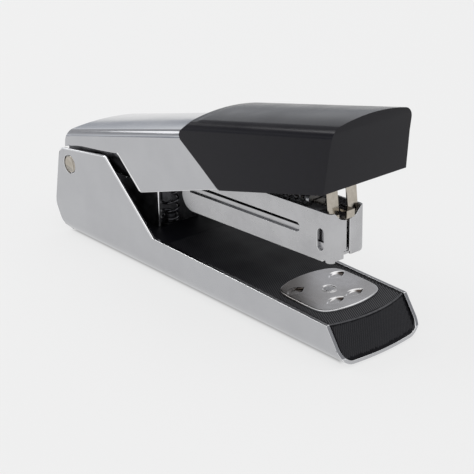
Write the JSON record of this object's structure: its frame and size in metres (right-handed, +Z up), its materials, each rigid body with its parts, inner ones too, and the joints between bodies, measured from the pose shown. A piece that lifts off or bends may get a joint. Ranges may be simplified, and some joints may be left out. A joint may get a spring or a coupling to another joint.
{
  "type": "desk stapler",
  "caption": "Desk stapler: steel base with hinge ears, sprung magazine, pivoting arm with a plastic front cap, sliding pusher, turning anvil plate.",
  "frame": {"origin": "under the middle of the base, on the surface it stands on", "axes": "+X from the hinge to the front lip, +Y to the side, +Z up"},
  "size_m": [0.168, 0.04, 0.0815],
  "materials": {
    "chrome_steel": "polished chrome plate",
    "nickel_steel": "satin nickel plate",
    "warm_nickel": "warm nickel plate",
    "dark_steel": "black enamel",
    "cap_plastic": "satin black",
    "pad_plastic": "textured black",
    "sole_rubber": "matte",
    "spring_steel": "drawn wire"
  },
  "bodies": {
    "base": {"base_channel": "chrome_steel", "base_pad": "pad_plastic", "sole_pad": "sole_rubber", "hinge_bracket": "dark_steel", "bracket_rivets": "warm_nickel", "hinge_pin": "warm_nickel", "lift_spring_post": "dark_steel", "lift_spring": "spring_steel", "anvil_spring": "spring_steel"},
    "anvil_button": {"anvil_button": "dark_steel"},
    "anvil": {"anvil_plate": "nickel_steel", "anvil_post": "nickel_steel", "anvil_clip": "spring_steel"},
    "magazine": {"magazine_channel": "nickel_steel", "magazine_carrier": "dark_steel", "carrier_rivets": "warm_nickel", "carrier_bushes": "warm_nickel", "staple_tray": "nickel_steel", "staple_rail": "nickel_steel", "rail_rivets": "warm_nickel", "guide_strip": "warm_nickel", "strip_anchor": "dark_steel", "lift_spring_seat": "nickel_steel", "spring_bush": "warm_nickel", "return_spring": "spring_steel", "pusher_spring": "spring_steel"},
    "pusher": {"pusher": "nickel_steel"},
    "arm": {"arm_cover": "chrome_steel", "arm_frame": "dark_steel", "cover_welds": "chrome_steel", "pin_spacers": "warm_nickel", "front_cap": "cap_plastic", "cap_clips": "spring_steel", "driver_blade": "warm_nickel", "driver_rivets": "warm_nickel"}
  },
  "joints": [
    {"name": "magazine_tilt", "type": "hinge", "parent": "base", "child": "magazine", "pos_m": [-0.072, 0, 0.032], "axis": [0, -1, 0], "range_deg": [-5.2, 0], "stiffness_Nm_per_rad": 4.5, "springref_deg": 5.16, "deforming": ["lift_spring"]},
    {"name": "arm_swing", "type": "hinge", "parent": "magazine", "child": "arm", "pos_m": [-0.072, 0, 0.032], "axis": [0, -1, 0], "range_deg": [-4.2, 85], "stiffness_Nm_per_rad": 1, "springref_deg": 4.93},
    {"name": "pusher_slide", "type": "slide", "parent": "magazine", "child": "pusher", "axis": [-0.9996, 0, -0.0297], "range_m": [0, 0.058], "stiffness_N_per_m": 30, "springref_m": -0.05, "deforming": ["pusher_spring"]},
    {"name": "anvil_lift", "type": "slide", "parent": "base", "child": "anvil_button", "axis": [0.0237, 0, 0.9997], "range_m": [0, 0.0018], "stiffness_N_per_m": 400, "springref_m": -0.002, "deforming": ["anvil_spring"]},
    {"name": "anvil_turn", "type": "hinge", "parent": "anvil_button", "child": "anvil", "pos_m": [0.057, 0, 0.0141], "axis": [0.0237, 0, 0.9997], "range_deg": [0, 180]}
  ]
}
